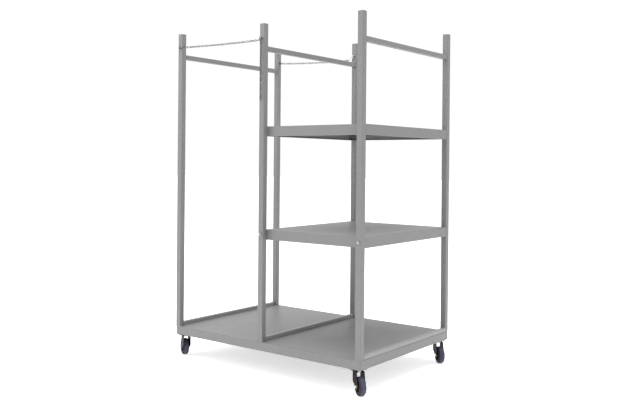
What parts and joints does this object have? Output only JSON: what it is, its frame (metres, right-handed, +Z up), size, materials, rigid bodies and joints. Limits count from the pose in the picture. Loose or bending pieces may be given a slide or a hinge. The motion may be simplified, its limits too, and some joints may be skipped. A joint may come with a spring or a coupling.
{
  "type": "rolling clothes rack",
  "caption": "Rolling steel rack for hanging clothes, with an open bay closed by chains, a bay with shelves, and a flat deck on swivel casters.",
  "frame": {"origin": "on the floor under the middle of the deck", "axes": "+X to the right with the shelves at the right, +Y to the back, +Z up"},
  "size_m": [1.2765, 0.883, 1.766],
  "materials": {
    "grey_paint": "satin powder coat",
    "black_paint": "gloss black coat",
    "zinc": "bright zinc plate",
    "grey_plastic": "moulded",
    "rubber": "matt rubber tread"
  },
  "bodies": {
    "rack": {"deck_tray": "grey_paint", "caster_channel_left": "grey_paint", "caster_channel_right": "grey_paint", "deck_ribs": "grey_paint", "post_front_left": "grey_paint", "post_back_left": "grey_paint", "post_front_middle": "grey_paint", "post_back_middle": "grey_paint", "post_front_right": "grey_paint", "post_back_right": "grey_paint", "post_caps": "grey_paint", "top_rail_left": "grey_paint", "top_rail_middle": "grey_paint", "top_rail_right": "grey_paint", "low_rail_left": "grey_paint", "low_rail_middle": "grey_paint", "low_rail_right": "grey_paint", "shelf_lower": "grey_paint", "shelf_upper": "grey_paint", "shelf_bolts": "zinc", "shelf_nuts": "zinc", "caster_kingpins": "zinc", "caster_bolts": "zinc", "caster_nuts": "zinc", "eye_bolts": "zinc", "chain_hook": "zinc", "fixing_nuts": "zinc", "front_chain": "zinc", "rear_chain": "zinc", "snap_hook": "zinc", "caster_front_left_plate": "black_paint", "caster_front_right_plate": "black_paint", "caster_back_left_plate": "black_paint", "caster_back_right_plate": "black_paint"},
    "front_left_fork": {"caster_front_left_fork": "black_paint", "caster_front_left_axle": "zinc", "caster_front_left_bush": "zinc", "caster_front_left_balls": "zinc"},
    "front_left_wheel": {"caster_front_left_hub": "grey_plastic", "caster_front_left_tyre": "rubber"},
    "front_right_fork": {"caster_front_right_fork": "black_paint", "caster_front_right_axle": "zinc", "caster_front_right_bush": "zinc", "caster_front_right_balls": "zinc"},
    "front_right_wheel": {"caster_front_right_hub": "grey_plastic", "caster_front_right_tyre": "rubber"},
    "back_left_fork": {"caster_back_left_fork": "black_paint", "caster_back_left_axle": "zinc", "caster_back_left_bush": "zinc", "caster_back_left_balls": "zinc"},
    "back_left_wheel": {"caster_back_left_hub": "grey_plastic", "caster_back_left_tyre": "rubber"},
    "back_right_fork": {"caster_back_right_fork": "black_paint", "caster_back_right_axle": "zinc", "caster_back_right_bush": "zinc", "caster_back_right_balls": "zinc"},
    "back_right_wheel": {"caster_back_right_hub": "grey_plastic", "caster_back_right_tyre": "rubber"},
    "snap_gate": {"snap_gate": "zinc"}
  },
  "joints": [
    {"name": "front_left_swivel", "type": "hinge", "parent": "rack", "child": "front_left_fork", "pos_m": [-0.5715, -0.383, 0.112], "axis": [0, 0, 1], "continuous": true},
    {"name": "front_left_roll", "type": "hinge", "parent": "front_left_fork", "child": "front_left_wheel", "pos_m": [-0.59748, -0.368, 0.0445], "axis": [-0.5, -0.866, 0], "continuous": true},
    {"name": "front_right_swivel", "type": "hinge", "parent": "rack", "child": "front_right_fork", "pos_m": [0.5715, -0.383, 0.112], "axis": [0, 0, 1], "continuous": true},
    {"name": "front_right_roll", "type": "hinge", "parent": "front_right_fork", "child": "front_right_wheel", "pos_m": [0.59546, -0.40105, 0.0445], "axis": [0.6018, 0.7986, 0], "continuous": true},
    {"name": "back_left_swivel", "type": "hinge", "parent": "rack", "child": "back_left_fork", "pos_m": [-0.5715, 0.383, 0.112], "axis": [0, 0, 1], "continuous": true},
    {"name": "back_left_roll", "type": "hinge", "parent": "back_left_fork", "child": "back_left_wheel", "pos_m": [-0.59514, 0.40147, 0.0445], "axis": [-0.6157, -0.788, 0], "continuous": true},
    {"name": "back_right_swivel", "type": "hinge", "parent": "rack", "child": "back_right_fork", "pos_m": [0.5715, 0.383, 0.112], "axis": [0, 0, 1], "continuous": true},
    {"name": "back_right_roll", "type": "hinge", "parent": "back_right_fork", "child": "back_right_wheel", "pos_m": [0.59344, 0.36254, 0.0445], "axis": [0.682, 0.7314, 0], "continuous": true},
    {"name": "snap_gate_hinge", "type": "hinge", "parent": "rack", "child": "snap_gate", "pos_m": [-0.01729, 0.38675, 1.6662], "axis": [0, -1, 0], "range_deg": [0, 20], "stiffness_Nm_per_rad": 0.004, "springref_deg": -17.19}
  ]
}
